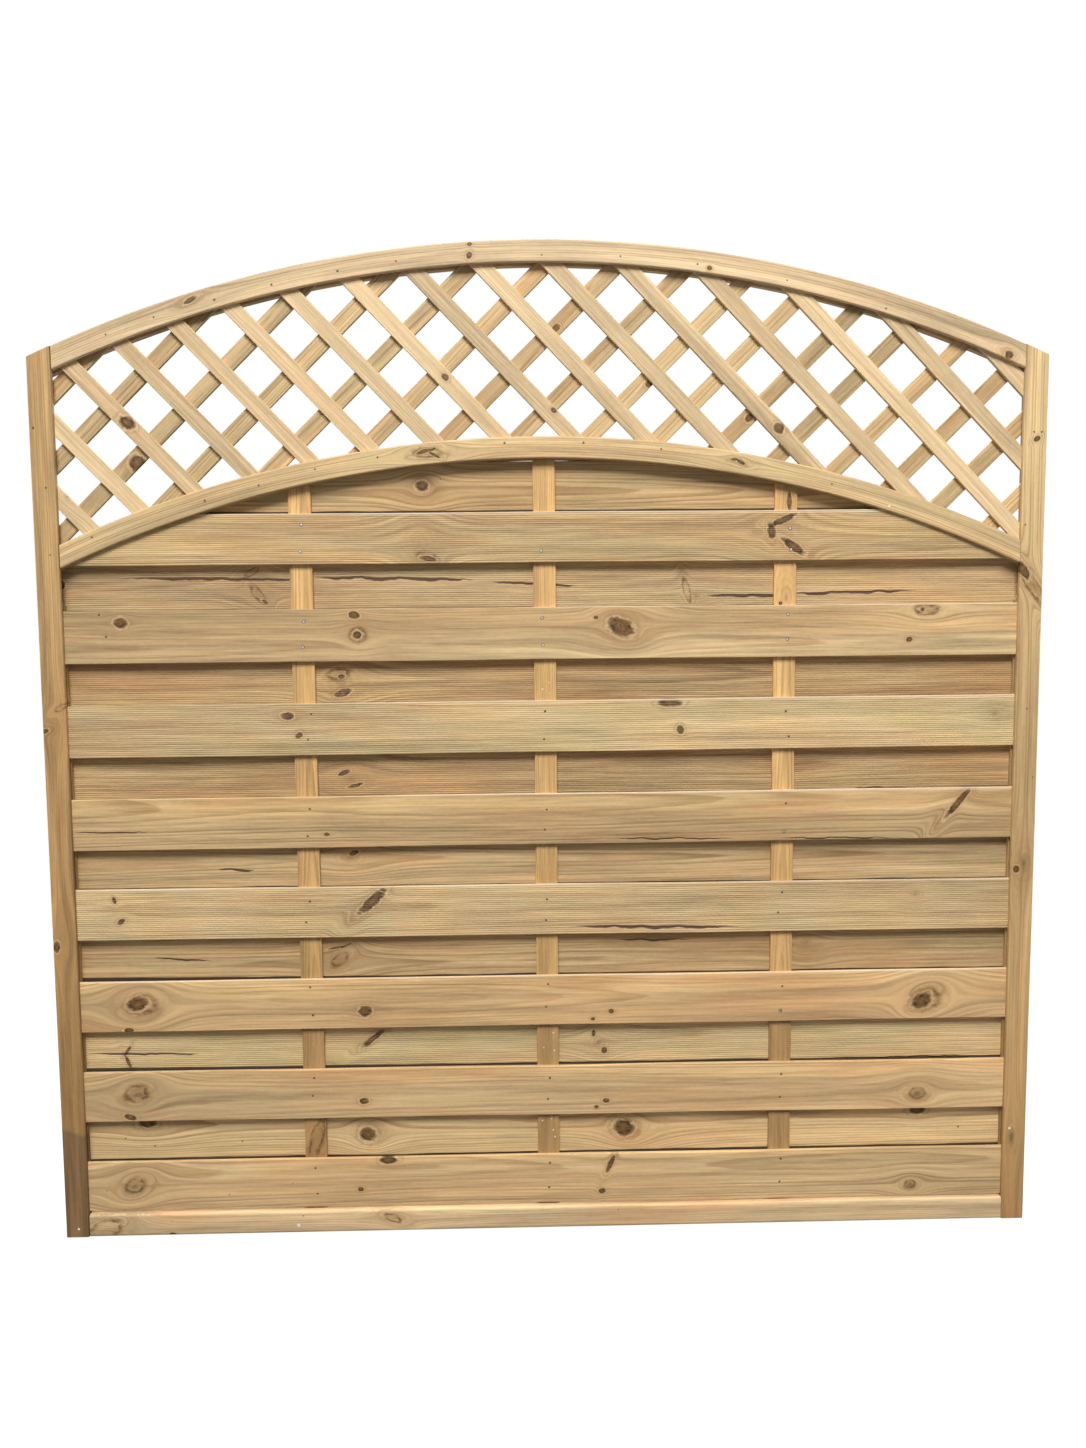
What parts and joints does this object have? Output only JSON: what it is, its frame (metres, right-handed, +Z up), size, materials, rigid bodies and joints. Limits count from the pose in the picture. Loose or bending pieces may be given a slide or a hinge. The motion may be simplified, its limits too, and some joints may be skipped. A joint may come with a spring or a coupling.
{
  "type": "fence panel",
  "caption": "wooden garden fence panel with an arched lattice top above two overlapping layers of horizontal slats in a square frame",
  "frame": {"origin": "on the outer face of the left stile, at mid depth and 0.8 m above the underside, where the panel is fastened to a post", "axes": "+X runs along the panel's width from the left stile to the right one, +Y from the front to the back, +Z up"},
  "size_m": [1.8, 0.042, 1.8],
  "materials": {
    "left_stile": "planed pressure treated pine with a brown stain low down",
    "right_stile": "planed pressure treated pine",
    "top_arch_rail": "planed pressure treated pine",
    "lower_arch_rail": "planed pressure treated pine",
    "bottom_rail": "planed pressure treated pine",
    "lattice": "planed pressure treated pine",
    "front_slats": "finely reeded pressure treated pine",
    "back_slats": "finely reeded pressure treated pine",
    "battens": "sawn pressure treated pine"
  },
  "bodies": {
    "root": {"left_stile": "left_stile", "right_stile": "right_stile", "top_arch_rail": "top_arch_rail", "lower_arch_rail": "lower_arch_rail", "bottom_rail": "bottom_rail", "lattice": "lattice", "front_slat_1": "front_slats", "front_slat_2": "front_slats", "front_slat_3": "front_slats", "front_slat_4": "front_slats", "front_slat_5": "front_slats", "front_slat_6": "front_slats", "front_slat_7": "front_slats", "front_slat_8": "front_slats", "back_slat_1": "back_slats", "back_slat_2": "back_slats", "back_slat_3": "back_slats", "back_slat_4": "back_slats", "back_slat_5": "back_slats", "back_slat_6": "back_slats", "back_slat_7": "back_slats", "back_slat_8": "back_slats", "batten_left": "battens", "batten_centre": "battens", "batten_right": "battens"}
  },
  "joints": []
}
